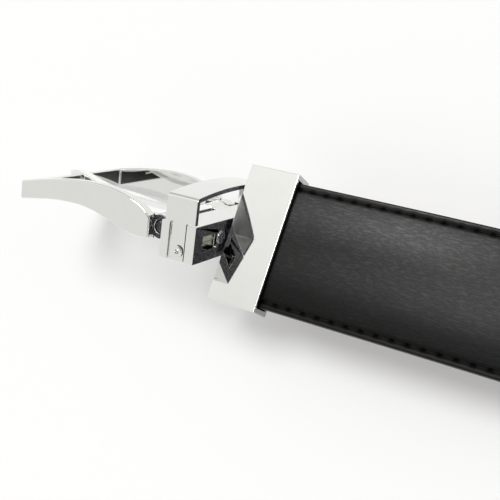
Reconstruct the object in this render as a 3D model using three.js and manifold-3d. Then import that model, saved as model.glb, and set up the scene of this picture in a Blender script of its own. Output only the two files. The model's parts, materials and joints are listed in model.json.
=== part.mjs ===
// Reversible belt: a flat strap in a box clamp, and a chromed buckle head that turns on a swivel shaft.
// Units are millimetres, +Z is up. The strap lies on the plane z = 0 and the origin is on its underside.
// The head is modelled in its own frame: x runs along the swivel axis towards the strap, y across the
// buckle and z out of its face. A group turns it about x and lifts it to the height of the axis.

import * as THREE from 'three';
import * as BufferGeometryUtils from 'three/addons/utils/BufferGeometryUtils.js';
import Module from 'manifold-3d';

const wasm = await Module();
wasm.setup();

// Driving dimensions
const GAP = 0.3;
const ROUND_SIDES = 24;
const REACH = 40; // how far through cuts and rough blanks run past the metal
const REST_X = 290;
const AXIS_HEIGHT = 20.4;
const HEAD_TWIST = THREE.MathUtils.degToRad(-65);

const STRAP_WIDTH = 35;
const LEATHER = 1.6;
const GLUE_LINE = 0.2;
const STRAP_END_X = 7;
const STRAP_TIP_X = 1057;
const STRAP_BEND_START = 20;
const STRAP_BEND_END = 280;
const TIP_LENGTH = 30;
const TIP_BLUNT = 3;
const CROWN = 0.35;
const CROWN_SHARE = 0.55;
const EDGE_CHAMFER = 0.35;
const HOLE_COUNT = 5;
const HOLE_PITCH = 25;
const HOLE_DIAMETER = 4.5;
const LAST_HOLE_TO_TIP = 115;

const CLAMP_LENGTH = 14.55;
const CLAMP_WIDTH = 38.6;
const CLAMP_HEIGHT = 7.95;
const CLAMP_WALL = 1;
const CLAMP_SIDE_WALL = 1.5;
const CLAMP_END_WALL = 2.5;
const JAW = { halfWidth: 17.4, thickness: 0.8, setBack: 0.3 };

const SHAFT_DIAMETER = 4;
const SHAFT_BORE = SHAFT_DIAMETER + 2 * GAP;
const SHAFT_INNER_X = -4.5;
const SHAFT_COLLAR = { diameter: 5.4, from: 5.2, to: 6.4 };

const BASE = { back: -9.2, front: -0.9, halfWidth: 19.3, bottom: -5.5, top: 4.5 };
const CHEEK = { back: -11.5, front: -8.95, thickness: 1 };
const POCKET = { near: 8.1, far: 15.4, bottom: -2.5, top: 1.5, depth: 5 };
const DETENT = { y: 6.4, diameter: 3.4, height: 0.5 };

const HINGE = { x: -13.3, z: 1.7, pin: 3, barrel: 3.4, pinHalfLength: 17 };
const PIN_BORE = HINGE.pin + 2 * GAP;
const LUG = { below: 3, above: 2.6 };
const ARM = { halfHeight: 2.6, length: 5.2, overlap: 0.5 };
const BARRELS = { frame: [12.9, 17.3], base: [5.2, 12.6], prong: [0, 4.9] };

const KEEPER = {
  back: -10.4, front: -1.1, halfWidth: 19.5, thickness: 1.2, shoulder: 11.9, crown: 13.2, corner: 1.4,
  cornerRise: 0.15,
  tabBack: -8.3, tabFront: -4.1, tabBottom: -5.4,
};
const RIVET = { x: -5.6, z: -2.7, shank: 1.8, head: 3.2, headHeight: 0.5, depth: 2.5 };

const FRAME = { outer: -60.4, innerEnd: -52.8, rear: -15.5, halfWidth: 19.3, rail: 2.8 };
const FRAME_TOP = [
  { x: -60.4, z: 5 }, { x: -51, z: 7.2 }, { x: -42, z: 8.8 }, { x: -33, z: 9.5 },
  { x: -26, z: 8.9 }, { x: -20, z: 7.2 }, { x: -17, z: 5.5 }, { x: -15.5, z: 4 },
];
const FRAME_UNDERSIDE = [
  { x: -15.5, z: -1.7 }, { x: -20, z: -1.9 }, { x: -25, z: -0.9 }, { x: -30, z: 0.6 },
  { x: -36, z: 2 }, { x: -42, z: 2.3 }, { x: -50, z: 1.6 }, { x: -60.4, z: -0.3 },
];

const PRONG = { thickness: 1.9, rootHalfWidth: 2.6, tipHalfWidth: 1.7, tip: -58.6, rootBehindPin: 5 };
const PRONG_TOP = [
  { x: -15, z: 4.4 }, { x: -22, z: 4.1 }, { x: -31, z: 4.15 }, { x: -41, z: 4.4 }, { x: -47, z: 5.3 },
  { x: -51.5, z: 6.5 }, { x: -55.5, z: 7.3 }, { x: -58.6, z: 6.9 },
];
const PRONG_SEAT = { halfWidth: 2.3, z: 4.2 };

// Finishes
const chrome = new THREE.MeshStandardMaterial({ color: 0xd9d9d6, roughness: 0.08, metalness: 1 });
const darkChrome = new THREE.MeshStandardMaterial({ color: 0xa9a9a8, roughness: 0.2, metalness: 1 });
const blackLeather = new THREE.MeshStandardMaterial({ color: 0x111112, roughness: 0.42, metalness: 0 });
const brownLeather = new THREE.MeshStandardMaterial({ color: 0x2e1a10, roughness: 0.5, metalness: 0 });

// A solid from a closed geometry, with its shared vertices merged
function solid(geometry) {
  const bare = geometry.index ? geometry.toNonIndexed() : geometry.clone();
  bare.deleteAttribute('normal');
  bare.deleteAttribute('uv');
  const merged = BufferGeometryUtils.mergeVertices(bare, 1e-4);
  return new wasm.Manifold(new wasm.Mesh({
    numProp: 3,
    vertProperties: new Float32Array(merged.attributes.position.array),
    triVerts: new Uint32Array(merged.index.array),
  }));
}

function geometryOf(body) {
  const mesh = body.getMesh();
  const geometry = new THREE.BufferGeometry();
  geometry.setAttribute('position', new THREE.BufferAttribute(new Float32Array(mesh.vertProperties), 3));
  geometry.setIndex(new THREE.BufferAttribute(new Uint32Array(mesh.triVerts), 1));
  geometry.computeVertexNormals();
  return geometry;
}

function join(first, ...others) {
  return others.reduce((sum, body) => sum.add(body), first);
}

function cut(first, ...others) {
  return others.reduce((rest, body) => rest.subtract(body), first);
}

// A block between two limits on each axis
function block([x0, x1], [y0, y1], [z0, z1]) {
  const geometry = new THREE.BoxGeometry(x1 - x0, y1 - y0, z1 - z0);
  geometry.translate((x0 + x1) / 2, (y0 + y1) / 2, (z0 + z1) / 2);
  return solid(geometry);
}

// A cylinder along x between two x values
function rodX(diameter, [x0, x1], y, z) {
  const geometry = new THREE.CylinderGeometry(diameter / 2, diameter / 2, x1 - x0, ROUND_SIDES);
  geometry.rotateZ(Math.PI / 2);
  geometry.translate((x0 + x1) / 2, y, z);
  return solid(geometry);
}

// A cylinder along y between two y values
function rodY(diameter, [y0, y1], x, z) {
  const geometry = new THREE.CylinderGeometry(diameter / 2, diameter / 2, y1 - y0, ROUND_SIDES);
  geometry.translate(x, (y0 + y1) / 2, z);
  return solid(geometry);
}

// A cylinder along z between two z values
function rodZ(diameter, [z0, z1], x, y) {
  const geometry = new THREE.CylinderGeometry(diameter / 2, diameter / 2, z1 - z0, ROUND_SIDES);
  geometry.rotateX(Math.PI / 2);
  geometry.translate(x, y, (z0 + z1) / 2);
  return solid(geometry);
}

// A side outline in x and z, carried across from y0 to y1
function sidePlate(shape, [y0, y1]) {
  const options = { depth: y1 - y0, bevelEnabled: false, curveSegments: 12 };
  const geometry = new THREE.ExtrudeGeometry(shape, options);
  geometry.rotateX(Math.PI / 2);
  geometry.translate(0, y1, 0);
  return solid(geometry);
}

// A front outline in y and z, carried along from x0 to x1
function crossPlate(shape, [x0, x1]) {
  const options = { depth: x1 - x0, bevelEnabled: false, curveSegments: 16 };
  const geometry = new THREE.ExtrudeGeometry(shape, options);
  geometry.rotateX(Math.PI / 2);
  geometry.rotateZ(Math.PI / 2);
  geometry.translate(x0, 0, 0);
  return solid(geometry);
}

function smoothPoints(rows, count) {
  const curve = new THREE.SplineCurve(rows.map(({ x, z }) => new THREE.Vector2(x, z)));
  return curve.getPoints(count);
}

function closedShape(points) {
  return new THREE.Shape(points);
}

// The pair of y ranges, one on each side of the swivel axis
function bothSides([inner, outer]) {
  return [[-outer, -inner], [inner, outer]];
}

// Strap: two leathers lofted along one gentle curve from the clamp down to the plane it lies on.
// Each is built as two solids, a raised run and a lying run, that meet where the curve ends.

// Height of the strap's middle plane: level in the clamp, then a quintic ease down to the ground
function strapHeight(x) {
  const t = THREE.MathUtils.clamp((x - STRAP_BEND_START) / (STRAP_BEND_END - STRAP_BEND_START), 0, 1);
  const eased = t * t * t * (t * (6 * t - 15) + 10);
  const lying = LEATHER + GLUE_LINE / 2;
  return THREE.MathUtils.lerp(AXIS_HEIGHT, lying, eased);
}

// Half width: full along the strap, then a pointed arch over the tip
function strapHalfWidth(x) {
  const u = THREE.MathUtils.clamp((x - (STRAP_TIP_X - TIP_LENGTH)) / TIP_LENGTH, 0, 1);
  const arch = Math.sqrt(1 - u * u);
  return TIP_BLUNT + (STRAP_WIDTH / 2 - TIP_BLUNT) * arch;
}

// Stations of the raised run, from inside the clamp to where the strap lies flat
function raisedStations() {
  const bends = 26;
  const stations = [STRAP_END_X, STRAP_BEND_START];
  for (let i = 1; i <= bends; i += 1) {
    stations.push(THREE.MathUtils.lerp(STRAP_BEND_START, STRAP_BEND_END - GAP, i / bends));
  }
  return stations;
}

// Stations of the lying run, from there to the pointed tip
function lyingStations() {
  const tipSteps = 12;
  const stations = [STRAP_BEND_END];
  for (let i = 0; i <= tipSteps; i += 1) {
    const along = Math.sin((i / tipSteps) * Math.PI / 2);
    stations.push(STRAP_TIP_X - TIP_LENGTH + TIP_LENGTH * along);
  }
  return stations;
}

// A leather's section: flat on the glue side, chamfered and slightly crowned on the outer side
function leatherSection(halfWidth, side) {
  const inner = side * GLUE_LINE / 2;
  const outer = side * (GLUE_LINE / 2 + LEATHER);
  const crown = side > 0 ? CROWN : 0;
  const edge = outer - side * EDGE_CHAMFER;
  const rows = [
    [-halfWidth, inner], [halfWidth, inner], [halfWidth, edge],
    [halfWidth - EDGE_CHAMFER, outer], [halfWidth * CROWN_SHARE, outer + crown],
    [-halfWidth * CROWN_SHARE, outer + crown], [-halfWidth + EDGE_CHAMFER, outer], [-halfWidth, edge],
  ];
  return side > 0 ? rows : rows.reverse();
}

// Rings of section points joined by quads, with a fan at each end
function leather(side, stations) {
  const positions = [];
  for (const x of stations) {
    const clear = x < CLAMP_LENGTH ? 0 : 1;
    for (const [y, z] of leatherSection(strapHalfWidth(x), side)) {
      const level = Math.sign(z) * Math.min(Math.abs(z), GLUE_LINE / 2 + LEATHER + clear * CROWN);
      positions.push(x, y, strapHeight(x) + level);
    }
  }
  const ring = 8;
  const index = [];
  for (let i = 0; i + 1 < stations.length; i += 1) {
    for (let j = 0; j < ring; j += 1) {
      const a = i * ring + j;
      const b = i * ring + (j + 1) % ring;
      index.push(a, b, a + ring, b, b + ring, a + ring);
    }
  }
  const last = (stations.length - 1) * ring;
  for (let j = 1; j + 1 < ring; j += 1) {
    index.push(0, j + 1, j);
    index.push(last, last + j, last + j + 1);
  }
  const geometry = new THREE.BufferGeometry();
  geometry.setAttribute('position', new THREE.BufferAttribute(new Float32Array(positions), 3));
  geometry.setIndex(index);
  return solid(geometry);
}

function punched(body) {
  for (let i = 0; i < HOLE_COUNT; i += 1) {
    const x = STRAP_TIP_X - LAST_HOLE_TO_TIP - i * HOLE_PITCH;
    body = cut(body, rodZ(HOLE_DIAMETER, [-REACH, REACH], x, 0));
  }
  return body;
}

// Box clamp: a sleeve closed at the head's end, with the shaft's bore, and a plain jaw under the strap

function clampSleeve() {
  const halfWidth = CLAMP_WIDTH / 2;
  const halfHeight = CLAMP_HEIGHT / 2;
  const outside = block([0, CLAMP_LENGTH], [-halfWidth, halfWidth], [-halfHeight, halfHeight]);
  const inside = block(
    [CLAMP_END_WALL, CLAMP_LENGTH + 1],
    [-halfWidth + CLAMP_SIDE_WALL, halfWidth - CLAMP_SIDE_WALL],
    [-halfHeight + CLAMP_WALL, halfHeight - CLAMP_WALL],
  );
  return cut(outside, inside, rodX(SHAFT_BORE, [-1, CLAMP_END_WALL + 1], 0, 0));
}

function clampJaw() {
  const top = -(GLUE_LINE / 2 + LEATHER) - GAP;
  const { halfWidth, thickness, setBack } = JAW;
  return block([STRAP_END_X, CLAMP_LENGTH - setBack], [-halfWidth, halfWidth], [top - thickness, top]);
}

// Swivel shaft: a pin with a collar that stays behind the clamp's end wall

function swivelShaft() {
  const { diameter, from, to } = SHAFT_COLLAR;
  return join(rodX(SHAFT_DIAMETER, [SHAFT_INNER_X, to], 0, 0), rodX(diameter, [from, to], 0, 0));
}

// Head base: a block with cored pockets, side channels for the keeper and lugs for the hinge pin

function headBase() {
  const { back, front, halfWidth, bottom, top } = BASE;
  let body = block([back, front], [-halfWidth, halfWidth], [bottom, top]);
  for (const range of bothSides(BARRELS.base)) {
    body = join(
      body,
      rodY(2 * HINGE.barrel, range, HINGE.x, HINGE.z),
      block([HINGE.x, back + 1], range, [HINGE.z - LUG.below, HINGE.z + LUG.above]),
    );
  }
  body = cut(body, rodY(PIN_BORE, [-REACH, REACH], HINGE.x, HINGE.z));
  for (const range of bothSides([POCKET.near, POCKET.far])) {
    body = cut(body, block([front - POCKET.depth, front + 1], range, [POCKET.bottom, POCKET.top]));
  }
  const channel = [KEEPER.halfWidth - KEEPER.thickness - GAP, halfWidth + 1];
  for (const range of bothSides(channel)) {
    body = cut(body, block([back - 1, KEEPER.tabFront + GAP], range, [bottom - 1, top + 1]));
  }
  for (const side of [-1, 1]) {
    body = cut(body, rivetHole(side));
    body = join(body, rodX(DETENT.diameter, [front - 1, front + DETENT.height], side * DETENT.y, 0));
  }
  return cut(body, rodX(SHAFT_BORE, [SHAFT_INNER_X - GAP, front + 1], 0, 0));
}

// A cheek of the base, which covers one end of the hinge. It is a solid of its own beside the base.
function baseCheek(side) {
  const { halfWidth, bottom, top } = BASE;
  const range = acrossFrom(side, halfWidth - CHEEK.thickness, halfWidth);
  return block([CHEEK.back, CHEEK.front], range, [bottom, top]);
}

function acrossFrom(side, inner, outer) {
  return side > 0 ? [inner, outer] : [-outer, -inner];
}

function rivetHole(side) {
  const range = acrossFrom(side, KEEPER.halfWidth - RIVET.depth - GAP, KEEPER.halfWidth + 1);
  return rodY(RIVET.shank + 2 * GAP, range, RIVET.x, RIVET.z);
}

function rivet(side) {
  const seat = KEEPER.halfWidth + GAP;
  const shank = rodY(RIVET.shank, acrossFrom(side, KEEPER.halfWidth - RIVET.depth, seat + RIVET.headHeight),
    RIVET.x, RIVET.z);
  const head = rodY(RIVET.head, acrossFrom(side, seat, seat + RIVET.headHeight), RIVET.x, RIVET.z);
  return join(shank, head);
}

// Keeper bow: a bent strip over the base, with a narrow tab let into each side of it

function keeperOutline(inset) {
  const half = KEEPER.halfWidth - inset;
  const shoulder = KEEPER.shoulder - inset;
  const crown = KEEPER.crown - inset;
  const corner = KEEPER.corner - inset;
  const shape = new THREE.Shape();
  const foot = inset > 0 ? KEEPER.tabBottom - 1 : KEEPER.tabBottom;
  shape.moveTo(-half, foot);
  shape.lineTo(half, foot);
  shape.lineTo(half, shoulder - corner);
  shape.quadraticCurveTo(half, shoulder, half - corner, shoulder + KEEPER.cornerRise);
  shape.quadraticCurveTo(0, 2 * crown - shoulder, -half + corner, shoulder + KEEPER.cornerRise);
  shape.quadraticCurveTo(-half, shoulder, -half, shoulder - corner);
  shape.closePath();
  return shape;
}

function keeperBow() {
  const { back, front, thickness, tabBack, tabFront, tabBottom } = KEEPER;
  let body = cut(
    crossPlate(keeperOutline(0), [back, front]),
    crossPlate(keeperOutline(thickness), [back - 1, front + 1]),
  );
  const legTop = BASE.top + GAP;
  for (const range of [[back - 1, tabBack], [tabFront, front + 1]]) {
    body = cut(body, block(range, [-REACH, REACH], [tabBottom - 1, legTop]));
  }
  return cut(body, rivetHole(-1), rivetHole(1));
}

function hingePin() {
  return rodY(HINGE.pin, [-HINGE.pinHalfLength, HINGE.pinHalfLength], HINGE.x, HINGE.z);
}

// Buckle frame: two arched rails and an end bar in one casting, with a barrel at each rail's end

function frameOutline() {
  return closedShape([...smoothPoints(FRAME_TOP, 22), ...smoothPoints(FRAME_UNDERSIDE, 22)]);
}

function buckleFrame() {
  const { outer, innerEnd, rear, halfWidth, rail } = FRAME;
  const inside = halfWidth - rail;
  let body = cut(
    sidePlate(frameOutline(), [-halfWidth, halfWidth]),
    block([innerEnd, rear + 1], [-inside, inside], [-REACH, REACH]),
    block([outer - 1, innerEnd + 1], [-PRONG_SEAT.halfWidth, PRONG_SEAT.halfWidth], [PRONG_SEAT.z, REACH]),
  );
  for (const range of bothSides(BARRELS.frame)) {
    const [low, high] = range;
    const arm = low > 0 ? [low, inside + ARM.overlap] : [-inside - ARM.overlap, high];
    body = join(
      body,
      rodY(2 * HINGE.barrel, range, HINGE.x, HINGE.z),
      block([HINGE.x - ARM.length, HINGE.x], arm, [HINGE.z - ARM.halfHeight, HINGE.z + ARM.halfHeight]),
    );
  }
  return cut(body, rodY(PIN_BORE, [-REACH, REACH], HINGE.x, HINGE.z));
}

// Prong: a tapering bar on its own barrel, which lies over the end bar

function prongOutline() {
  const underside = PRONG_TOP.map(({ x, z }) => ({ x, z: z - PRONG.thickness })).reverse();
  return closedShape([...smoothPoints(PRONG_TOP, 24), ...smoothPoints(underside, 24)]);
}

function prongPlan() {
  const { tip, rootHalfWidth, tipHalfWidth, rootBehindPin } = PRONG;
  const root = HINGE.x + rootBehindPin;
  const shape = new THREE.Shape();
  shape.moveTo(root, -rootHalfWidth);
  shape.lineTo(root, rootHalfWidth);
  shape.lineTo(tip + tipHalfWidth, tipHalfWidth);
  shape.absarc(tip + tipHalfWidth, 0, tipHalfWidth, Math.PI / 2, 3 * Math.PI / 2, false);
  shape.closePath();
  const options = { depth: 2 * REACH, bevelEnabled: false, curveSegments: 12 };
  const geometry = new THREE.ExtrudeGeometry(shape, options);
  geometry.translate(0, 0, -REACH);
  return solid(geometry);
}

function prong() {
  const [, barrelEnd] = BARRELS.prong;
  const bar = sidePlate(prongOutline(), [-REACH, REACH]).intersect(prongPlan());
  const barrel = rodY(2 * HINGE.barrel, [-barrelEnd, barrelEnd], HINGE.x, HINGE.z);
  return cut(join(bar, barrel), rodY(PIN_BORE, [-REACH, REACH], HINGE.x, HINGE.z));
}

// The belt as one group
function named(name, body, material) {
  const mesh = new THREE.Mesh(geometryOf(body), material);
  mesh.name = name;
  return mesh;
}

const strap = new THREE.Group();
strap.add(
  named('strap_front_leather_raised', leather(1, raisedStations()), blackLeather),
  named('strap_front_leather_lying', punched(leather(1, lyingStations())), blackLeather),
  named('strap_back_leather_raised', leather(-1, raisedStations()), brownLeather),
  named('strap_back_leather_lying', punched(leather(-1, lyingStations())), brownLeather),
);

const clamp = new THREE.Group();
clamp.position.z = AXIS_HEIGHT;
clamp.add(
  named('clamp_sleeve', clampSleeve(), chrome),
  named('clamp_jaw', clampJaw(), darkChrome),
  named('swivel_shaft', swivelShaft(), darkChrome),
);

const head = new THREE.Group();
head.position.z = AXIS_HEIGHT;
head.rotation.x = HEAD_TWIST;
head.add(
  named('head_base', headBase(), chrome),
  named('base_cheek_near', baseCheek(-1), chrome),
  named('base_cheek_far', baseCheek(1), chrome),
  named('keeper_bow', keeperBow(), chrome),
  named('keeper_rivet_near', rivet(-1), chrome),
  named('keeper_rivet_far', rivet(1), chrome),
  named('hinge_pin', hingePin(), darkChrome),
  named('buckle_frame', buckleFrame(), chrome),
  named('prong', prong(), chrome),
);

const group = new THREE.Group();
group.name = 'reversible_belt';
group.position.x = -REST_X;
group.add(strap, clamp, head);

export default group;
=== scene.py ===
"""Reversible belt: sewn leather strap, chromed box clamp and a pin buckle head turned on its shaft.

Everything is in metres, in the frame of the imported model: x along the strap, z up, the table at z = 0.
The head's own frame has x along the swivel axis, y across the buckle and z out of its face.
"""

import json
import math

import bmesh
import bpy
import numpy as np
from bpy.props import FloatProperty, FloatVectorProperty, IntProperty, PointerProperty
from mathutils import Matrix, Vector


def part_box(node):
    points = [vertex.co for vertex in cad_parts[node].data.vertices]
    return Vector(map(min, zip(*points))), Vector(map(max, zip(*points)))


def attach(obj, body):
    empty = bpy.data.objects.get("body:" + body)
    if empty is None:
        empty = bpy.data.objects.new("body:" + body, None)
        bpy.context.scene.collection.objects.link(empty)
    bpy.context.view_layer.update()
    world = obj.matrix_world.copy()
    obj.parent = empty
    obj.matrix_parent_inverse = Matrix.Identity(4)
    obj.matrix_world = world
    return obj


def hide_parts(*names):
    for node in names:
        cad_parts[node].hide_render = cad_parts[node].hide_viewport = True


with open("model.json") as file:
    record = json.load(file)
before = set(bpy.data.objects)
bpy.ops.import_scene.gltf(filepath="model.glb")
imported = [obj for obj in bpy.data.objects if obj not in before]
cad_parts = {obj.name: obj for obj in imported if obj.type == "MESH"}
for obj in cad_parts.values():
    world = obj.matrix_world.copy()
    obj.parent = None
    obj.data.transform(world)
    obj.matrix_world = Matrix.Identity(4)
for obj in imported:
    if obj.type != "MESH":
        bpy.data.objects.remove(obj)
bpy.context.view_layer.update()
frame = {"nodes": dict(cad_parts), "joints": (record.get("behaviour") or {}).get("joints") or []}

bl_info = {
    "name": "Reversible belt",
    "version": (1, 0, 0),
    "blender": (4, 5, 0),
    "location": "View3D > Sidebar > Belt",
    "description": "Builds a sewn leather strap with a chromed clamp and a swivelling pin buckle",
    "category": "Add Mesh",
}

MM = 0.001


def joint(name):
    """The frame's joint of that name."""
    return next(j for j in frame["joints"] if j["name"] == name)


# The head's own axes, read from its joints
AXIS_POINT = np.array(joint("head_twist")["pos_m"])
HEAD_X = np.array(joint("head_twist")["axis"], float)
HEAD_Y = np.array(joint("frame_hinge")["axis"], float)
HEAD_Z = np.cross(HEAD_X, HEAD_Y)
HEAD_AXES = np.array([HEAD_X, HEAD_Y, HEAD_Z])

# The strap's places, read from its CAD boxes
RAISED_LOW, RAISED_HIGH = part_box("strap_front_leather_raised")
LYING_LOW, LYING_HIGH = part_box("strap_front_leather_lying")
BACK_LOW, BACK_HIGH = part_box("strap_back_leather_lying")
CLAMP_LOW, CLAMP_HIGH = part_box("clamp_sleeve")
STRAP_LEVEL = float(AXIS_POINT[2])
HALF_GLUE_LINE = (LYING_LOW.z - BACK_HIGH.z) / 2
FIRST_STITCH = CLAMP_HIGH.x - 4 * MM

# The run beside the clamp that is stepped finely and has needle holes
CLOSE_RUN_END = RAISED_LOW.x + 110 * MM


class StrapSizes(bpy.types.PropertyGroup):
    width: FloatProperty(
        name="Width", description="Width of the strap", unit="LENGTH",
        default=LYING_HIGH.y - LYING_LOW.y,
    )
    leather: FloatProperty(
        name="Leather", description="Thickness of each leather at its edge", unit="LENGTH",
        default=BACK_HIGH.z - BACK_LOW.z,
    )
    crown: FloatProperty(
        name="Crown", description="How far the padding lifts the middle of the front", unit="LENGTH",
        default=0.45 * MM,
    )
    edge_radius: FloatProperty(
        name="Edge radius", description="Rounding of the cut edges", unit="LENGTH", default=0.5 * MM,
    )
    drop_length: FloatProperty(
        name="Drop length", description="Run over which the strap comes down to the table", unit="LENGTH",
        default=260 * MM,
    )
    tip_length: FloatProperty(
        name="Tip length", description="Length of the pointed tip", unit="LENGTH", default=30 * MM,
    )
    tip_blunt: FloatProperty(
        name="Tip bluntness", description="Half width of the blunt end of the tip", unit="LENGTH",
        default=3 * MM,
    )
    hole_count: IntProperty(name="Holes", description="Number of punched holes", default=5, min=1)
    hole_pitch: FloatProperty(
        name="Hole pitch", description="Spacing of the holes", unit="LENGTH", default=25 * MM,
    )
    hole_diameter: FloatProperty(
        name="Hole diameter", description="Diameter of a punched hole", unit="LENGTH", default=4.5 * MM,
    )
    last_hole: FloatProperty(
        name="Last hole", description="Distance of the last hole from the tip", unit="LENGTH",
        default=115 * MM,
    )


class StitchSizes(bpy.types.PropertyGroup):
    inset: FloatProperty(
        name="Inset", description="Distance of the stitches from the edge", unit="LENGTH",
        default=1.75 * MM,
    )
    pitch: FloatProperty(
        name="Pitch", description="Spacing of the stitches", unit="LENGTH", default=4 * MM,
    )
    length: FloatProperty(
        name="Length", description="Length of one stitch", unit="LENGTH", default=3 * MM,
    )
    radius: FloatProperty(
        name="Thread radius", description="Radius of the thread", unit="LENGTH", default=0.26 * MM,
    )
    groove: FloatProperty(
        name="Groove", description="Depth of the groove that the stitches pull in", unit="LENGTH",
        default=0.3 * MM,
    )
    needle: FloatProperty(
        name="Needle holes", description="Half width of the dimple at each needle hole", unit="LENGTH",
        default=0.38 * MM,
    )
    needle_depth: FloatProperty(
        name="Needle depth", description="Depth of the dimple at each needle hole", unit="LENGTH",
        default=0.85 * MM,
    )


class MetalSizes(bpy.types.PropertyGroup):
    clamp_edge: FloatProperty(
        name="Clamp edges", description="Rounding of the clamp's edges", unit="LENGTH",
        default=0.22 * MM,
    )
    base_edge: FloatProperty(
        name="Base edges", description="Rounding of the cast base's edges", unit="LENGTH",
        default=0.16 * MM,
    )
    bow_edge: FloatProperty(
        name="Bow edges", description="Rounding of the keeper bow's edges", unit="LENGTH",
        default=0.18 * MM,
    )
    frame_edge: FloatProperty(
        name="Frame edges", description="Rounding of the buckle frame's edges", unit="LENGTH",
        default=0.5 * MM,
    )
    prong_edge: FloatProperty(
        name="Prong edges", description="Rounding of the prong's edges", unit="LENGTH",
        default=0.4 * MM,
    )
    rivet_bore: FloatProperty(
        name="Rivet bore", description="Diameter of the hole in a pierced rivet", unit="LENGTH",
        default=1.1 * MM,
    )


class Finishes(bpy.types.PropertyGroup):
    black: FloatVectorProperty(
        name="Black leather", description="Colour of the front leather", subtype="COLOR", size=3,
        default=(0.0055, 0.0055, 0.0053), min=0, max=1,
    )
    brown: FloatVectorProperty(
        name="Brown leather", description="Colour of the back leather", subtype="COLOR", size=3,
        default=(0.075, 0.032, 0.016), min=0, max=1,
    )
    thread: FloatVectorProperty(
        name="Thread", description="Colour of the stitches", subtype="COLOR", size=3,
        default=(0.004, 0.004, 0.004), min=0, max=1,
    )
    chrome: FloatVectorProperty(
        name="Chrome", description="Colour of the chromed parts", subtype="COLOR", size=3,
        default=(0.797, 0.797, 0.772), min=0, max=1,
    )
    # Painted light: a lighter chrome colour for the prong.
    bright: FloatVectorProperty(
        name="Bright chrome", description="Colour of the prong", subtype="COLOR", size=3,
        default=(0.95, 0.95, 0.93), min=0, max=1,
    )
    steel: FloatVectorProperty(
        name="Steel", description="Colour of the plain steel parts", subtype="COLOR", size=3,
        default=(0.5, 0.5, 0.5), min=0, max=1,
    )


class StageSizes(bpy.types.PropertyGroup):
    lens: FloatProperty(
        name="Lens", description="Focal length for a 36 mm sensor, in millimetres", default=58.62,
    )
    camera: FloatVectorProperty(
        name="Camera", description="Place of the camera", subtype="TRANSLATION", size=3, unit="LENGTH",
        default=(-0.1874, -0.0313, 0.2161),
    )
    aim: FloatVectorProperty(
        name="Aim", description="Point of the table in the middle of the picture", subtype="TRANSLATION",
        size=3, unit="LENGTH", default=(-0.2943, -0.0002, 0.0),
    )
    roll: FloatProperty(
        name="Roll", description="Turn of the camera about its line of sight", subtype="ANGLE",
        default=math.radians(-56.83),
    )
    floor: FloatProperty(
        name="Floor", description="Side of the square floor", unit="LENGTH", default=12.0,
    )
    sky: FloatProperty(name="Sky", description="Brightness of the light tent", default=0.87, min=0)
    key: FloatProperty(name="Key", description="Strength of the soft key light", default=1.7, min=0)
    glow: FloatProperty(
        name="Table glow", description="Light that the table gives off", default=0.22, min=0,
    )


def sizes(name):
    """One of the scene's property groups."""
    return getattr(bpy.context.scene, name)


def from_head(points):
    """Points of the head's frame moved to the model's: axis point plus x, y, z times the axes."""
    return AXIS_POINT + np.asarray(points, float) @ HEAD_AXES


def ease(t):
    """Quintic ease from 0 to 1: t cubed times 6 t squared minus 15 t plus 10, flat at both ends."""
    t = np.clip(t, 0, 1)
    return t ** 3 * (t * (6 * t - 15) + 10)


# Mesh making

FLAT_ANGLE = math.radians(0.5)
SHARP_ANGLE = math.radians(32)


def surface(name, grid, ring=False, ends=False):
    """A mesh from a grid of points, rows by columns, with a quad between each four neighbours.

    With ring, each row closes on itself. With ends, one face each closes the first and the last row.
    """
    rows, columns = grid.shape[:2]
    wide = columns if ring else columns - 1
    i, j = np.meshgrid(np.arange(rows - 1), np.arange(wide), indexing="ij")
    k = (j + 1) % columns
    this, after = i * columns, (i + 1) * columns
    faces = np.stack([this + j, this + k, after + k, after + j], -1).reshape(-1, 4).tolist()
    if ends:
        faces.append(list(range(columns))[::-1])
        faces.append([(rows - 1) * columns + c for c in range(columns)])
    mesh = bpy.data.meshes.new(name)
    mesh.from_pydata(grid.reshape(-1, 3).tolist(), [], faces)
    return mesh


def face_out(mesh, merge=1e-7):
    """Merges doubled points and turns all faces outwards."""
    work = bmesh.new()
    work.from_mesh(mesh)
    bmesh.ops.remove_doubles(work, verts=work.verts, dist=merge)
    bmesh.ops.recalc_face_normals(work, faces=work.faces)
    work.to_mesh(mesh)
    work.free()


def smooth(mesh, angle):
    """Smooth shading with sharp edges above the angle, in degrees."""
    mesh.polygons.foreach_set("use_smooth", [True] * len(mesh.polygons))
    mesh.set_sharp_from_angle(angle=math.radians(angle))


def piece(name, mesh, body, material, replaced=()):
    """Links the mesh as a piece that rides on the body, takes the slot and stands for CAD nodes."""
    made = bpy.data.objects.new(name, mesh)
    bpy.context.scene.collection.objects.link(made)
    mesh.materials.append(material)
    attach(made, body)
    if replaced:
        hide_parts(*replaced)
    return made


def polished(name, node, body, material, edge, segments=3):
    """A merged copy of a CAD node's mesh, with its flat faces whole and its sharp edges rounded."""
    mesh = frame["nodes"][node].data.copy()
    mesh.name = name
    mesh.materials.clear()
    work = bmesh.new()
    work.from_mesh(mesh)
    bmesh.ops.remove_doubles(work, verts=work.verts, dist=1e-6)
    bmesh.ops.dissolve_limit(work, angle_limit=FLAT_ANGLE, verts=work.verts, edges=work.edges)
    work.to_mesh(mesh)
    work.free()
    mesh.polygons.foreach_set("use_smooth", [True] * len(mesh.polygons))
    made = piece(name, mesh, body, material, [node])
    rounding = made.modifiers.new("Rounded edges", "BEVEL")
    rounding.width = edge
    rounding.segments = segments
    rounding.limit_method = "ANGLE"
    rounding.angle_limit = SHARP_ANGLE
    rounding.use_clamp_overlap = False
    flat = made.modifiers.new("Flat faces stay flat", "WEIGHTED_NORMAL")
    flat.mode = "FACE_AREA"
    flat.weight = 100
    return made


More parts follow.
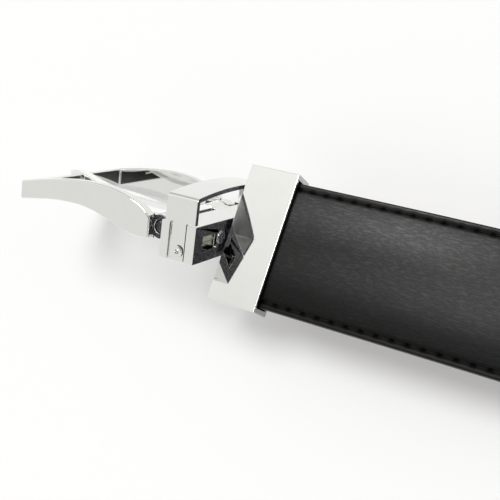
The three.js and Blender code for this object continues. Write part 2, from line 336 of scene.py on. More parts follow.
def faces_of(made):
    """Normals and centres of a piece's faces."""
    normal = np.zeros(len(made.data.polygons) * 3, np.float32)
    centre = np.zeros_like(normal)
    made.data.polygons.foreach_get("normal", normal)
    made.data.polygons.foreach_get("center", centre)
    return normal.reshape(-1, 3), centre.reshape(-1, 3)


def head_faces(made):
    """Normals and centres of a piece's faces along the head's axes, the centres from the swivel axis."""
    normal, centre = faces_of(made)
    return normal @ HEAD_AXES.T, (centre - AXIS_POINT) @ HEAD_AXES.T


def head_points(mesh):
    """A mesh's points along the head's axes, from the swivel axis."""
    points = np.zeros(len(mesh.vertices) * 3, np.float32)
    mesh.vertices.foreach_get("co", points)
    return (points.reshape(-1, 3) - AXIS_POINT) @ HEAD_AXES.T


def second_finish(made, faces, material):
    """Gives the chosen faces another finish than the rest of the piece."""
    made.data.materials.append(material)
    slots = np.zeros(len(made.data.polygons), np.int32)
    made.data.polygons.foreach_get("material_index", slots)
    slots[faces] = len(made.data.materials) - 1
    made.data.polygons.foreach_set("material_index", slots)


def front_faces(made, depth=1.2 * MM):
    """The faces that look along the swivel axis towards the strap, to a depth behind the foremost."""
    normal, centre = head_faces(made)
    return (normal[:, 0] > 0.7) & (centre[:, 0] > centre[:, 0].max() - depth)


def bow_inside(made):
    """The inner faces of the bow: the underside of its crown and the inner sides of its legs."""
    normal, centre = head_faces(made)
    crown_level = 8 * MM
    under = (normal[:, 2] < -0.5) & (centre[:, 2] > crown_level)
    return under | (normal[:, 1] * np.sign(centre[:, 1]) < -0.7)


def barrel_ends(made):
    """The flat ends of the barrels about the hinge, which take the dark cast finish as painted shade for
    their recess.
    """
    normal, centre = head_faces(made)
    hinge = (np.array(joint("frame_hinge")["pos_m"]) - AXIS_POINT) @ HEAD_AXES.T
    barrel_reach = 3.6 * MM
    near = np.hypot(centre[:, 0] - hinge[0], centre[:, 2] - hinge[2]) < barrel_reach
    return near & (np.abs(normal[:, 1]) > 0.9)


def set_tabs_forward(made, front_shift, back_shift):
    """Moves the front and back faces of the bow's tabs, so that a hairline stays before the base."""
    local = head_points(made.data)
    tab_level = -4 * MM
    same = 0.01 * MM
    tabs = local[local[:, 2] < tab_level, 0]
    at_front = np.abs(local[:, 0] - tabs.max()) < same
    at_back = np.abs(local[:, 0] - tabs.min()) < same
    local[at_front, 0] += front_shift
    local[at_back, 0] += back_shift
    made.data.vertices.foreach_set("co", from_head(local).astype(np.float32).ravel())


# Strap

def strap_middle(x):
    """Height of the plane between the leathers: level at the clamp, then a quintic ease to the table."""
    drop_end = LYING_LOW.x
    start = drop_end - sizes("strap_sizes").drop_length
    lying = BACK_HIGH.z + HALF_GLUE_LINE
    return STRAP_LEVEL + (lying - STRAP_LEVEL) * ease((x - start) / (drop_end - start))


def strap_half_width(x):
    """Half the width: full along the strap, then a quarter of an ellipse over the tip to a blunt end."""
    s = sizes("strap_sizes")
    u = np.clip((x - (LYING_HIGH.x - s.tip_length)) / s.tip_length, 0, 1)
    return s.tip_blunt + (s.width / 2 - s.tip_blunt) * np.sqrt(1 - u * u)


def outline_slope(x):
    """How fast the half width changes along the strap, by a small central difference."""
    step = 1e-5
    ahead = strap_half_width(np.minimum(x + step, LYING_HIGH.x))
    behind = strap_half_width(np.minimum(x, LYING_HIGH.x) - step)
    return (ahead - behind) / (2 * step)


def leather_height(edge, front):
    """Height of a leather's outer face over the glue line, by the distance from the cut edge.

    A quarter circle rounds the edge, a bell curve cuts the stitching groove and, on the front,
    a power curve that flattens towards the middle lifts the padding.
    """
    s = sizes("strap_sizes")
    stitch = sizes("stitch_sizes")
    inside = 1 - np.clip(edge / s.edge_radius, 0, 1)
    height = s.leather - s.edge_radius * (1 - np.sqrt(1 - inside ** 2))
    groove_half = 0.5 * MM
    height = height - stitch.groove * np.exp(-(((edge - stitch.inset) / groove_half) ** 2))
    if front:
        start = stitch.inset + 0.2 * MM
        rise = 7 * MM
        height = height + s.crown * (1 - (1 - np.clip((edge - start) / rise, 0, 1)) ** 2.2)
    return height


def needle_dimples(x, edge):
    """Depth of the needle holes: an oval bell curve at each pitch of the stitches, beside the clamp."""
    stitch = sizes("stitch_sizes")
    along = (x - FIRST_STITCH + stitch.pitch / 2) % stitch.pitch - stitch.pitch / 2
    near = (x < CLOSE_RUN_END)[:, None]
    stretch = 1.8
    square = ((along[:, None] / stretch) ** 2 + (edge - stitch.inset) ** 2) / stitch.needle ** 2
    return near * stitch.needle_depth * np.exp(-square)


def strap_stations():
    """Places along the strap: close together near the clamp and at the tip, wider apart between."""
    s = sizes("strap_sizes")
    tip_start = LYING_HIGH.x - s.tip_length
    close_step = 0.42 * MM
    wide_step = 4.5 * MM
    near = np.arange(RAISED_LOW.x, CLOSE_RUN_END, close_step)
    middle = np.arange(CLOSE_RUN_END, tip_start, wide_step)
    tip = tip_start + s.tip_length * np.sin(np.linspace(0, math.pi / 2, 30))
    return np.concatenate([near, middle, tip])


def edge_steps():
    """Distances in from the cut edge, close together over the rounding and over the stitching groove."""
    s = sizes("strap_sizes")
    stitch = sizes("stitch_sizes")
    rounding = s.edge_radius * (1 - np.cos(np.linspace(0, math.pi / 2, 6)))
    groove = stitch.inset + np.linspace(-1.2, 1.2, 11) * MM
    crown = np.linspace(stitch.inset + 1.9 * MM, s.width / 2, 12)
    return np.concatenate([rounding, [1.1 * MM], groove, crown])


def leather_grid(front):
    """Points of one leather: at each station a ring over its outer face and back by the glue side."""
    s = sizes("strap_sizes")
    x = strap_stations()
    steps = edge_steps()
    share = steps / (s.width / 2)
    across = np.concatenate([1 - share, -(1 - share[:-1])[::-1]])
    near_edge = np.concatenate([steps, steps[:-1][::-1]])
    half = strap_half_width(x)
    lean = 1 / np.sqrt(1 + outline_slope(x) ** 2)
    edge = near_edge[None, :] * (half / (s.width / 2))[:, None] * lean[:, None]
    outer = HALF_GLUE_LINE + leather_height(edge, front) - needle_dimples(x, edge)
    y = across[None, :] * half[:, None]
    inner_y = np.linspace(-1, 1, 9)[None, :] * half[:, None]
    inner = np.full_like(inner_y, HALF_GLUE_LINE)
    side = 1 if front else -1
    ring_y = np.concatenate([y, inner_y], 1)
    ring_z = strap_middle(x)[:, None] + side * np.concatenate([outer, inner], 1)
    ring_x = np.repeat(x[:, None], ring_y.shape[1], 1)
    return np.stack([ring_x, ring_y, ring_z], -1)


def hole_cutter():
    """Upright round bars, one through each hole: a circle carried from below the strap to above it."""
    s = sizes("strap_sizes")
    bottom, top = -5 * MM, 10 * MM
    turn = np.linspace(0, 2 * math.pi, 40, endpoint=False)
    circle = np.stack([np.cos(turn), np.sin(turn)], -1) * s.hole_diameter / 2
    work = bmesh.new()
    for i in range(s.hole_count):
        x = LYING_HIGH.x - s.last_hole - i * s.hole_pitch
        rows = [np.column_stack([circle + (x, 0), np.full(len(turn), z)]) for z in (bottom, top)]
        bar = surface("bar", np.array(rows), ring=True, ends=True)
        face_out(bar)
        work.from_mesh(bar)
        bpy.data.meshes.remove(bar)
    mesh = bpy.data.meshes.new("hole_cutter")
    work.to_mesh(mesh)
    work.free()
    cutter = bpy.data.objects.new("hole_cutter", mesh)
    bpy.context.scene.collection.objects.link(cutter)
    return cutter


def punch(made):
    """Cuts the holes through a leather and applies the cut."""
    cutter = hole_cutter()
    cut = made.modifiers.new("Holes", "BOOLEAN")
    cut.object = cutter
    cut.operation = "DIFFERENCE"
    cut.solver = "EXACT"
    with bpy.context.temp_override(object=made, active_object=made, selected_objects=[made]):
        bpy.ops.object.modifier_apply(modifier=cut.name)
    bpy.data.objects.remove(cutter)


def leather_piece(name, front, face, paint, replaced):
    """One leather as a closed, punched mesh, with edge paint on its cut sides."""
    mesh = surface(name, leather_grid(front), ring=True, ends=True)
    face_out(mesh)
    made = piece(name, mesh, "clamp_and_strap", face, replaced)
    punch(made)
    normal, centre = faces_of(made)
    painted = 0.35 * MM
    at_side = np.abs(centre[:, 1]) > strap_half_width(centre[:, 0]) - painted
    second_finish(made, at_side & (np.abs(normal[:, 2]) < 0.8), paint)
    smooth(made.data, 50)
    return made


# Stitches

def stitch_line(front):
    """Places and directions of the stitches: the outline moved in by the inset.

    The line is stepped finely, its length summed, and one stitch set at each pitch of that length.
    """
    stitch = sizes("stitch_sizes")
    tip = sizes("strap_sizes").tip_length
    x = np.concatenate([
        np.arange(FIRST_STITCH, LYING_HIGH.x - tip, 0.8 * MM),
        LYING_HIGH.x - tip * (1 - np.sin(np.linspace(0, math.pi / 2, 400))),
    ])
    slope = outline_slope(x)
    lean = 1 / np.sqrt(1 + slope ** 2)
    line_x = x + stitch.inset * slope * lean
    line_y = strap_half_width(x) - stitch.inset * lean
    side = 1 if front else -1
    height = HALF_GLUE_LINE + leather_height(np.array([stitch.inset]), front)[0]
    line_z = strap_middle(line_x) + side * height
    line = np.stack([line_x, line_y, line_z], -1)[line_y > 0.8 * MM]
    length = np.concatenate([[0], np.cumsum(np.linalg.norm(np.diff(line, axis=0), axis=1))])
    places = np.arange(stitch.pitch / 2, length[-1], stitch.pitch)
    step = 0.3 * MM
    centre, ahead, behind = (
        np.stack([np.interp(at, length, line[:, c]) for c in range(3)], -1)
        for at in (places, places + step, places - step)
    )
    along = ahead - behind
    along /= np.linalg.norm(along, axis=1)[:, None]
    mirror = np.array([1, -1, 1])
    return np.concatenate([centre, centre * mirror]), np.concatenate([along, along * mirror])


def stitch_shape():
    """One stitch, rings by points, as along, across and up.

    A circle whose radius shrinks at both ends is carried along a line with a low cosine hump.
    """
    stitch = sizes("stitch_sizes")
    t = np.linspace(-1, 1, 7)
    turn = np.linspace(0, 2 * math.pi, 8, endpoint=False)
    radius = stitch.radius * np.sqrt(np.clip(1 - (t * 0.96) ** 6, 0.02, 1))
    lift = 0.55 * stitch.radius * np.cos(t * math.pi / 2) - 0.5 * stitch.radius
    along = np.repeat((t * stitch.length / 2)[:, None], len(turn), 1)
    across = radius[:, None] * np.cos(turn)[None, :]
    up = lift[:, None] + radius[:, None] * np.sin(turn)[None, :]
    return np.stack([along, across, up], -1)


def stitches(name, front, material):
    """All the stitches of one side as one mesh: the stitch shape set on each place of the line."""
    centre, along = stitch_line(front)
    shape = stitch_shape()
    rings, around = shape.shape[:2]
    up = np.array([0, 0, 1.0 if front else -1.0])
    sideways = np.cross(along, up)
    sideways /= np.linalg.norm(sideways, axis=1)[:, None]
    lifted = np.cross(sideways, along)
    local = shape.reshape(-1, 3)
    points = (
        centre[:, None, :]
        + local[None, :, 0, None] * along[:, None, :]
        + local[None, :, 1, None] * sideways[:, None, :]
        + local[None, :, 2, None] * lifted[:, None, :]
    )
    i, j = np.meshgrid(np.arange(rings - 1), np.arange(around), indexing="ij")
    k = (j + 1) % around
    this, after = i * around, (i + 1) * around
    quads = np.stack([this + j, this + k, after + k, after + j], -1).reshape(-1, 4)
    first = np.arange(len(centre))[:, None, None] * (rings * around)
    caps = np.stack([np.arange(around)[::-1], (rings - 1) * around + np.arange(around)])
    sides = (quads[None] + first).reshape(-1, 4).tolist()
    ends = (caps[None] + first).reshape(-1, around).tolist()
    mesh = bpy.data.meshes.new(name)
    mesh.from_pydata(points.reshape(-1, 3).tolist(), [], sides + ends)
    face_out(mesh, 1e-9)
    smooth(mesh, 60)
    return piece(name, mesh, "clamp_and_strap", material)


# Turned and pierced metal

def turned_rivet(name, node, side, material):
    """A pierced rivet: a closed profile of its head, shank and bore carried once round its own axis.

    The axis runs along the head frame's y. Its place and size come from the CAD node's own points.
    """
    local = head_points(frame["nodes"][node].data)
    low, high = local.min(0), local.max(0)
    middle = (low + high) / 2
    head_radius = (high[0] - low[0]) / 2
    sunk = 0.2 * MM
    face = high[1] - sunk if side > 0 else low[1] + sunk
    foot = low[1] if side > 0 else high[1]
    bore = sizes("metal_sizes").rivet_bore / 2
    shank = head_radius * 0.56
    thick = 0.5 * MM - sunk
    dome = 0.12 * MM
    radius = np.array([
        0, bore * 0.8, bore, bore * 1.15, head_radius * 0.62, head_radius * 0.86,
        head_radius * 0.97, head_radius, head_radius * 0.97, shank, shank, 0,
    ])
    depth = np.array([
        1.4 * MM, 1.35 * MM, 1.1 * MM, 0.06 * MM, 0, dome * 0.35,
        dome * 0.8, thick * 0.7, thick, thick, abs(face - foot), abs(face - foot),
    ])
    turn = np.linspace(0, 2 * math.pi, 40, endpoint=False)
    x = middle[0] + radius[:, None] * np.cos(turn)[None, :]
    z = middle[2] + radius[:, None] * np.sin(turn)[None, :]
    y = np.repeat((face - side * depth)[:, None], len(turn), 1)
    mesh = surface(name, from_head(np.stack([x, y, z], -1)), ring=True)
    face_out(mesh, 1e-6)
    smooth(mesh, 45)
    return piece(name, mesh, "head", material, [node])


# Materials

def socket(group, name, direction, kind, value=None):
    """One named socket of a node group."""
    made = group.interface.new_socket(name=name, in_out=direction, socket_type=kind)
    if value is not None:
        made.default_value = value
    return made


def group_tree(name, inputs, outputs):
    """A node group with its inputs and outputs, and their two nodes."""
    group = bpy.data.node_groups.new(name, "ShaderNodeTree")
    for label, kind, value in inputs:
        socket(group, label, "INPUT", kind, value)
    for label, kind in outputs:
        socket(group, label, "OUTPUT", kind)
    return group, group.nodes.new("NodeGroupInput"), group.nodes.new("NodeGroupOutput")


def add(tree, kind, **values):
    """A node of that kind, with its named inputs or properties set."""
    node = tree.nodes.new(kind)
    for key, value in values.items():
        if hasattr(node, key):
            setattr(node, key, value)
        else:
            node.inputs[key.replace("_", " ")].default_value = value
    return node


def maths(tree, operation, first, second=None, clamp=False):
    """A Math node on two sockets or numbers; gives its output socket."""
    node = tree.nodes.new("ShaderNodeMath")
    node.operation = operation
    node.use_clamp = clamp
    for place, value in enumerate((first, second)):
        if value is None:
            continue
        if isinstance(value, bpy.types.NodeSocket):
            tree.links.new(value, node.inputs[place])
        else:
            node.inputs[place].default_value = value
    return node.outputs[0]


def noise(tree, coordinates, scale, stretch, detail, roughness):
    """Noise on object coordinates stretched by a Mapping node; scale is in waves per metre."""
    mapping = add(tree, "ShaderNodeMapping", Scale=stretch)
    tree.links.new(coordinates, mapping.inputs["Vector"])
    node = add(tree, "ShaderNodeTexNoise", Scale=scale, Detail=detail, Roughness=roughness)
    tree.links.new(mapping.outputs[0], node.inputs["Vector"])
    return node.outputs["Fac"]


def ramp(tree, value, start, end, low, high, shape="LINEAR"):
    """A value taken from low at its start to high at its end and held beyond; gives its socket."""
    node = add(tree, "ShaderNodeMapRange", interpolation_type=shape, clamp=True)
    tree.links.new(value, node.inputs["Value"])
    node.inputs["From Min"].default_value = start
    node.inputs["From Max"].default_value = end
    node.inputs["To Min"].default_value = low
    node.inputs["To Max"].default_value = high
    return node.outputs[0]


def eased(tree, value, start, end, low=0.0, high=1.0):
    """The same with a smooth step between the ends."""
    return ramp(tree, value, start, end, low, high, "SMOOTHSTEP")


def tinted(tree, colour_socket, factor):
    """A colour times a grey factor; gives the output socket."""
    shade = add(tree, "ShaderNodeMix", data_type="RGBA", blend_type="MULTIPLY")
    shade.inputs[0].default_value = 1.0
    tree.links.new(colour_socket, shade.inputs[6])
    tree.links.new(factor, shade.inputs[7])
    return shade.outputs[2]


SURFACE_OUTPUTS = [
    ("Colour", "NodeSocketColor"), ("Roughness", "NodeSocketFloat"), ("Height", "NodeSocketFloat"),
]


def leather_grain():
    """Group: the pores, soft lengthwise wrinkles and slight changes of tone of finished leather.

    Colour and shine are lighter on the wrinkle ridges and darker in the creases: partly wear, partly
    painted shade.
    Shine is a mask for the coat and a painted sheen: strongest on the ridges and, as a painted highlight,
    on the far side beside the clamp; none at the near edge, as painted shade.
    """
    group, given, result = group_tree(
        "leather_grain",
        [
            ("Colour", "NodeSocketColor", (0.02, 0.02, 0.02, 1)),
            ("Wrinkles", "NodeSocketFloat", 1.0),
            ("Gloss", "NodeSocketFloat", 0.4),
        ],
        [*SURFACE_OUTPUTS, ("Shine", "NodeSocketFloat")],
    )
    where = add(group, "ShaderNodeTexCoord").outputs["Object"]
    pores = add(group, "ShaderNodeTexVoronoi", Scale=1500.0)
    group.links.new(where, pores.inputs["Vector"])
    creases = noise(group, where, 1500.0, (0.22, 1.0, 1.0), 3.0, 0.6)
    grain = noise(group, where, 2600.0, (0.6, 1.0, 1.0), 3.0, 0.5)
    clouds = noise(group, where, 30.0, (0.5, 1.0, 1.0), 2.0, 0.5)
    ridges = maths(group, "ABSOLUTE", maths(group, "SUBTRACT", creases, 0.5))
    wrinkle = maths(group, "MULTIPLY", ridges, given.outputs["Wrinkles"])
    # Partly wear, partly painted shade: colour and coat are lighter on the wrinkle ridges and darker in
    # the creases.
    wear_and_crease_shade = ramp(group, ridges, 0.0, 0.16, 0.75, 1.45)
    parts = add(group, "ShaderNodeSeparateXYZ")
    group.links.new(where, parts.inputs[0])
    # Painted highlight: more coat on the far side within a few centimetres of the clamp, where more light
    # falls.
    highlight_start = CLAMP_HIGH.x + 25 * MM
    highlight_end = CLAMP_HIGH.x + 60 * MM
    beside_clamp = eased(group, parts.outputs["X"], highlight_start, highlight_end, 0.3, 0.0)
    far_side = eased(group, parts.outputs["Y"], 2 * MM, 10 * MM)
    painted_far_highlight = maths(group, "ADD", maths(group, "MULTIPLY", beside_clamp, far_side), 0.15)
    # Painted shade: the coat fades out towards the near edge, darkening the band along it.
    painted_near_edge_shade = eased(group, parts.outputs["Y"], -12 * MM, -3 * MM)
    shine = maths(group, "MULTIPLY", maths(group, "MULTIPLY", painted_far_highlight, painted_near_edge_shade), wear_and_crease_shade)
    group.links.new(shine, result.inputs["Shine"])
    fine = maths(group, "MULTIPLY", grain, 0.22)
    pore = maths(group, "MULTIPLY", pores.outputs["Distance"], 0.12)
    height = maths(group, "ADD", maths(group, "ADD", wrinkle, fine), pore)
    group.links.new(height, result.inputs["Height"])
    spread = maths(group, "MULTIPLY", maths(group, "SUBTRACT", clouds, 0.5), 0.12)
    uneven = maths(group, "MULTIPLY", maths(group, "SUBTRACT", grain, 0.5), 0.12)
    rough = maths(group, "ADD", maths(group, "ADD", given.outputs["Gloss"], spread), uneven, clamp=True)
    group.links.new(rough, result.inputs["Roughness"])
    grey = ramp(group, clouds, 0.3, 0.7, 0.8, 1.15)
    shaded = tinted(group, given.outputs["Colour"], maths(group, "MULTIPLY", grey, wear_and_crease_shade))
    group.links.new(shaded, result.inputs["Colour"])
    return group


def polish_marks():
    """Group: the faint waviness, handling smears and hairline scratches of polished metal."""
    group, given, result = group_tree(
        "polish_marks",
        [
            ("Colour", "NodeSocketColor", (0.8, 0.8, 0.8, 1)),
            ("Base Roughness", "NodeSocketFloat", 0.04),
            ("Smears", "NodeSocketFloat", 0.03),
        ],
        SURFACE_OUTPUTS,
    )
    where = add(group, "ShaderNodeTexCoord").outputs["Object"]
    smears = noise(group, where, 160.0, (1, 1, 1), 3.0, 0.55)
    scratches = noise(group, where, 900.0, (0.12, 1.0, 1.0), 2.0, 0.5)
    waves = noise(group, where, 110.0, (1, 1, 1), 1.0, 0.4)
    smear = maths(group, "MULTIPLY", smears, given.outputs["Smears"])
    rough = maths(group, "ADD", given.outputs["Base Roughness"], smear, clamp=True)
    group.links.new(rough, result.inputs["Roughness"])
    height = maths(group, "ADD", maths(group, "MULTIPLY", scratches, 0.05), waves)
    group.links.new(height, result.inputs["Height"])
    grey = ramp(group, smears, 0.0, 1.0, 0.97, 1.03)
    group.links.new(tinted(group, given.outputs["Colour"], grey), result.inputs["Colour"])
    return group


def cast_specks():
    """Group: the bluish grains and pits of an unpolished casting."""
    group, given, result = group_tree(
        "cast_specks",
        [
            ("Colour", "NodeSocketColor", (0.05, 0.05, 0.053, 1)),
            ("Grains", "NodeSocketColor", (0.22, 0.22, 0.27, 1)),
        ],
        SURFACE_OUTPUTS,
    )
    where = add(group, "ShaderNodeTexCoord").outputs["Object"]
    specks = noise(group, where, 3800.0, (1, 1, 1), 2.0, 0.6)
    mix = add(group, "ShaderNodeMix", data_type="RGBA")
    group.links.new(eased(group, specks, 0.5, 0.68), mix.inputs[0])
    group.links.new(given.outputs["Colour"], mix.inputs[6])
    group.links.new(given.outputs["Grains"], mix.inputs[7])
    group.links.new(mix.outputs[2], result.inputs["Colour"])
    rough = maths(group, "ADD", maths(group, "MULTIPLY", specks, 0.3), 0.15)
    group.links.new(rough, result.inputs["Roughness"])
    group.links.new(specks, result.inputs["Height"])
    return group


def shared_group(name, make):
    """The node group of that name, made the first time that it is asked for."""
    return bpy.data.node_groups.get(name) or make()


def grouped_material(name, group, values, bump_distance, bump_strength, **shader_values):
    """A Principled material whose colour, roughness and bump come from a node group."""
    found = bpy.data.materials.get(name)
    if found:
        return found
    made = bpy.data.materials.new(name)
    made.use_nodes = True
    tree = made.node_tree
    shader = tree.nodes["Principled BSDF"]
    effect = tree.nodes.new("ShaderNodeGroup")
    effect.node_tree = group
    for label, value in values.items():
        effect.inputs[label].default_value = value
    tree.links.new(effect.outputs["Colour"], shader.inputs["Base Color"])
    tree.links.new(effect.outputs["Roughness"], shader.inputs["Roughness"])
    bump = add(tree, "ShaderNodeBump", Strength=bump_strength, Distance=bump_distance)
    tree.links.new(effect.outputs["Height"], bump.inputs["Height"])
    tree.links.new(bump.outputs[0], shader.inputs["Normal"])
    for label, value in shader_values.items():
        shader.inputs[label.replace("_", " ")].default_value = value
    return made


def colour(name):
    """A colour of the finishes with full alpha."""
    return (*getattr(sizes("finishes"), name), 1.0)


def black_leather():
    """Black calf with a coat that shines on its ridges, with a painted highlight on the far side beside
    the clamp and painted shade at the near edge.
    """
    group = shared_group("leather_grain", leather_grain)
    values = {"Colour": colour("black"), "Wrinkles": 1.0, "Gloss": 0.42}
    made = grouped_material(
        "finish_black_leather", group, values, 0.12 * MM, 0.35,
        Specular_IOR_Level=0.09, Coat_Roughness=0.34,
    )
    nodes = made.node_tree.nodes
    effect = next(node for node in nodes if node.type == "GROUP")
    # The coat's weight is the group's Shine mask, a painted sheen.
    made.node_tree.links.new(effect.outputs["Shine"], nodes["Principled BSDF"].inputs["Coat Weight"])
    return made


def brown_leather():
    """Brown calf for the back."""
    group = shared_group("leather_grain", leather_grain)
    values = {"Colour": colour("brown"), "Wrinkles": 0.8, "Gloss": 0.45}
    return grouped_material("finish_brown_leather", group, values, 0.12 * MM, 0.5)


def edge_paint():
    """Black paint on the cut edges."""
    group = shared_group("leather_grain", leather_grain)
    values = {"Colour": colour("black"), "Wrinkles": 0.3, "Gloss": 0.5}
    return grouped_material("finish_edge_paint", group, values, 0.1 * MM, 0.3, Specular_IOR_Level=0.3)


def waxed_thread():
    """Dull black sewing thread."""
    group = shared_group("leather_grain", leather_grain)
    values = {"Colour": colour("thread"), "Wrinkles": 0.6, "Gloss": 0.6}
    return grouped_material("finish_waxed_thread", group, values, 0.06 * MM, 0.6, Specular_IOR_Level=0.12)


def chrome():
    """Polished chrome plate."""
    group = shared_group("polish_marks", polish_marks)
    values = {"Colour": colour("chrome"), "Base Roughness": 0.03, "Smears": 0.03}
    return grouped_material("finish_chrome", group, values, 0.02 * MM, 0.05, Metallic=1.0)


def lit_prong_chrome():
    """A lighter copy of the chrome for the prong: painted light, standing in for the brighter light on it.
    """
    group = shared_group("polish_marks", polish_marks)
    values = {"Colour": colour("bright"), "Base Roughness": 0.05, "Smears": 0.03}
    return grouped_material("finish_prong_painted_light", group, values, 0.02 * MM, 0.05, Metallic=1.0)


def steel_and_mouth_shade():
    """Unpolished steel, also the metal inside the bow. On the clamp's mouth its darker grey is painted
    shade.
    """
    group = shared_group("polish_marks", polish_marks)
    values = {"Colour": colour("steel"), "Base Roughness": 0.26, "Smears": 0.12}
    return grouped_material("finish_steel_and_painted_shade", group, values, 0.03 * MM, 0.3, Metallic=1.0)


def cast_and_shade_finish():
    """Dark, speckled metal left as it was cast; on the barrel ends it is painted shade."""
    group = shared_group("cast_specks", cast_specks)
    return grouped_material("finish_cast_and_painted_shade", group, {}, 0.05 * MM, 0.4, Metallic=1.0)


def white_table():
    """A plain matt white that glows a little, as a light table does."""
    made = bpy.data.materials.new("white_table")
    made.use_nodes = True
    tree = made.node_tree
    shader = tree.nodes["Principled BSDF"]
    shader.inputs["Roughness"].default_value = 0.85
    shader.inputs["Specular IOR Level"].default_value = 0.1
    shader.inputs["Base Color"].default_value = TABLE_COLOUR
    shader.inputs["Emission Color"].default_value = (1, 1, 1, 1)
    shader.inputs["Emission Strength"].default_value = sizes("stage_sizes").glow
    return made


# Stage

OPENING_WAY = (0.5, -0.24, 0.83)
DIM_WAY = (-0.12, -0.33, 0.93)
SUN_WAY = (-0.08, 0.26, 0.96)
SUN_ANGLE = math.radians(26)
TENT_COLOUR = (1.0, 1.0, 0.985, 1)
TABLE_COLOUR = (0.64, 0.64, 0.635, 1)


def patch(tree, where, way, inner, outer):
    """How far a direction lies in a round patch of the sky: 1 to the inner angle, eased to 0 at the outer.

    Both angles are in degrees from the middle of the patch.
    """
    dot = add(tree, "ShaderNodeVectorMath", operation="DOT_PRODUCT")
    tree.links.new(where, dot.inputs[0])
    dot.inputs[1].default_value = Vector(way).normalized()
    rim = math.cos(math.radians(outer))
    full = math.cos(math.radians(inner))
    return eased(tree, dot.outputs["Value"], rim, full)


def light_tent():
    """World light by direction: a pale tent, brighter towards its far side and dim low down there.

    It has two soft darker patches. The dark one is the opening that the picture is taken through.
    The dim one lies over the strap's near edge.
    """
    world = bpy.data.worlds.new("light_tent")
    bpy.context.scene.world = world
    world.use_nodes = True
    tree = world.node_tree
    back = tree.nodes["Background"]
    where = add(tree, "ShaderNodeTexCoord").outputs["Generated"]
    parts = add(tree, "ShaderNodeSeparateXYZ")
    tree.links.new(where, parts.inputs[0])
    lift = ramp(tree, parts.outputs["Y"], -0.02, 0.4, 1.0, 1.4)
    fall = ramp(tree, parts.outputs["Y"], 0.3, 0.6, 1.0, 0.5)
    dark = patch(tree, where, OPENING_WAY, 18, 30)
    dim = patch(tree, where, DIM_WAY, 10, 24)
    beside_dark = maths(tree, "SUBTRACT", 1.0, maths(tree, "MULTIPLY", dark, 0.98))
    beside_dim = maths(tree, "SUBTRACT", 1.0, maths(tree, "MULTIPLY", dim, 0.65))
    kept = maths(tree, "MULTIPLY", beside_dark, beside_dim)
    lit = maths(tree, "MULTIPLY", kept, maths(tree, "MULTIPLY", lift, fall))
    tree.links.new(maths(tree, "MULTIPLY", lit, sizes("stage_sizes").sky), back.inputs["Strength"])
    back.inputs["Color"].default_value = TENT_COLOUR


def key_light():
    """A wide, soft sun, nearly overhead and a little to the far side."""
    light = bpy.data.lights.new("key", "SUN")
    light.energy = sizes("stage_sizes").key
    light.angle = SUN_ANGLE
    made = bpy.data.objects.new("key", light)
    made.rotation_mode = "QUATERNION"
    made.rotation_quaternion = Vector(SUN_WAY).to_track_quat("Z", "Y")
    bpy.context.scene.collection.objects.link(made)


def floor():
    """The table: one large square at height 0."""
    half = sizes("stage_sizes").floor / 2
    grid = np.array([[(-half, -half, 0), (half, -half, 0)], [(-half, half, 0), (half, half, 0)]])
    mesh = surface("table_top", grid)
    made = bpy.data.objects.new("table_top", mesh)
    mesh.materials.append(white_table())
    bpy.context.scene.collection.objects.link(made)


def camera():
    """A camera at its place, looking at its aim and rolled about its line of sight."""
    s = sizes("stage_sizes")
    data = bpy.data.cameras.new("camera")
    data.lens = s.lens
    data.sensor_width = 36.0
    data.clip_start = 0.01
    made = bpy.data.objects.new("camera", data)
    back = (Vector(s.camera) - Vector(s.aim)).normalized()
    level = back.to_track_quat("Z", "Y").to_matrix().to_4x4()
    made.matrix_world = Matrix.Translation(Vector(s.camera)) @ level @ Matrix.Rotation(s.roll, 4, "Z")
    bpy.context.scene.collection.objects.link(made)
    bpy.context.scene.camera = made


# Operators

MOUTH_DEPTH = 20 * MM
TAB_FRONT_SHIFT = 0.2 * MM
TAB_BACK_SHIFT = 0.15 * MM


class BELT_OT_strap(bpy.types.Operator):
    """Builds the two leathers of the strap"""

    bl_idname = "belt.strap"
    bl_label = "Strap leathers"

    def execute(self, context):
        leather_piece(
            "strap_front", True, black_leather(), edge_paint(),
            ["strap_front_leather_raised", "strap_front_leather_lying"],
        )
        leather_piece(
            "strap_back", False, brown_leather(), edge_paint(),
            ["strap_back_leather_raised", "strap_back_leather_lying"],
        )
        return {"FINISHED"}


class BELT_OT_stitches(bpy.types.Operator):
    """Sews the rows of stitches along both faces of the strap"""

    bl_idname = "belt.stitches"
    bl_label = "Stitches"

    def execute(self, context):
        stitches("stitches_front", True, waxed_thread())
        stitches("stitches_back", False, waxed_thread())
        return {"FINISHED"}


class BELT_OT_clamp(bpy.types.Operator):
    """Builds the box clamp, its jaw and the swivel shaft"""

    bl_idname = "belt.clamp"
    bl_label = "Clamp and shaft"

    def execute(self, context):
        edge = sizes("metal_sizes").clamp_edge
        box = polished("clamp_box", "clamp_sleeve", "clamp_and_strap", chrome(), edge)
        # Painted shade: the mouth's faces take the darker steel to stand for the shaded floor they
        # reflect.
        second_finish(box, front_faces(box, MOUTH_DEPTH), steel_and_mouth_shade())
        polished("jaw_plate", "clamp_jaw", "clamp_and_strap", steel_and_mouth_shade(), edge / 2)
        polished("shaft_pin", "swivel_shaft", "shaft", steel_and_mouth_shade(), edge)
        return {"FINISHED"}


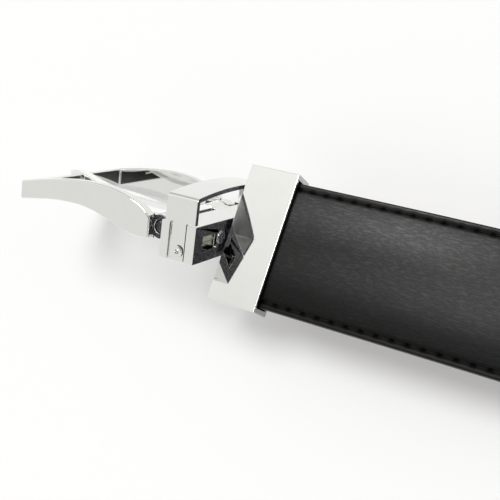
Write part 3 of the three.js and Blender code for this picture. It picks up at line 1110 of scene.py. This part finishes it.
class BELT_OT_head(bpy.types.Operator):
    """Builds the cast base, the keeper bow and its two rivets"""

    bl_idname = "belt.head"
    bl_label = "Head base and keeper"

    def execute(self, context):
        m = sizes("metal_sizes")
        base = polished("cast_base", "head_base", "head", chrome(), m.base_edge)
        second_finish(base, front_faces(base), cast_and_shade_finish())
        polished("cheek_near", "base_cheek_near", "head", chrome(), m.base_edge)
        polished("cheek_far", "base_cheek_far", "head", chrome(), m.base_edge)
        bow = polished("bent_bow", "keeper_bow", "head", chrome(), m.bow_edge)
        set_tabs_forward(bow, TAB_FRONT_SHIFT, TAB_BACK_SHIFT)
        second_finish(bow, bow_inside(bow), steel_and_mouth_shade())
        second_finish(bow, front_faces(bow), cast_and_shade_finish())
        turned_rivet("rivet_near", "keeper_rivet_near", -1, chrome())
        turned_rivet("rivet_far", "keeper_rivet_far", 1, chrome())
        return {"FINISHED"}


class BELT_OT_frame(bpy.types.Operator):
    """Builds the buckle frame, its hinge pin and the prong"""

    bl_idname = "belt.frame"
    bl_label = "Buckle frame and prong"

    def execute(self, context):
        m = sizes("metal_sizes")
        arched = polished("arched_frame", "buckle_frame", "frame", chrome(), m.frame_edge, 4)
        # Painted shade: the barrel ends of frame and pin take the dark cast finish to stand for the shade
        # in their recess.
        second_finish(arched, barrel_ends(arched), cast_and_shade_finish())
        pin = polished("frame_pin", "hinge_pin", "frame", steel_and_mouth_shade(), m.clamp_edge)
        second_finish(pin, barrel_ends(pin), cast_and_shade_finish())
        # Painted light: the prong takes a lighter copy of the chrome.
        polished("prong_bar", "prong", "prong", lit_prong_chrome(), m.prong_edge, 4)
        return {"FINISHED"}


class BELT_OT_stage(bpy.types.Operator):
    """Sets the floor, the light tent, the key light and the camera"""

    bl_idname = "belt.stage"
    bl_label = "Stage"

    def execute(self, context):
        context.scene.view_settings.view_transform = "Standard"
        light_tent()
        key_light()
        floor()
        camera()
        return {"FINISHED"}


OPERATORS = [
    BELT_OT_stage, BELT_OT_strap, BELT_OT_stitches, BELT_OT_clamp, BELT_OT_head, BELT_OT_frame,
]
GROUPS = {
    "strap_sizes": StrapSizes,
    "stitch_sizes": StitchSizes,
    "metal_sizes": MetalSizes,
    "finishes": Finishes,
    "stage_sizes": StageSizes,
}


class BELT_PT_panel(bpy.types.Panel):
    """Lists the belt's pieces and their sizes"""

    bl_idname = "BELT_PT_panel"
    bl_label = "Reversible belt"
    bl_space_type = "VIEW_3D"
    bl_region_type = "UI"
    bl_category = "Belt"

    def draw(self, context):
        for name, group in GROUPS.items():
            box = self.layout.box()
            box.label(text=group.__name__)
            for key in group.__annotations__:
                box.prop(getattr(context.scene, name), key)
        for operator in OPERATORS:
            self.layout.operator(operator.bl_idname)


def register():
    for group in GROUPS.values():
        bpy.utils.register_class(group)
    for name, group in GROUPS.items():
        setattr(bpy.types.Scene, name, PointerProperty(type=group))
    for made in [*OPERATORS, BELT_PT_panel]:
        bpy.utils.register_class(made)


def unregister():
    for made in [BELT_PT_panel, *reversed(OPERATORS)]:
        bpy.utils.unregister_class(made)
    for name, group in GROUPS.items():
        delattr(bpy.types.Scene, name)
        bpy.utils.unregister_class(group)


def main():
    register()
    for operator in OPERATORS:
        family, action = operator.bl_idname.split(".")
        getattr(getattr(bpy.ops, family), action)()
    bpy.context.view_layer.update()


if __name__ == "__main__":
    main()
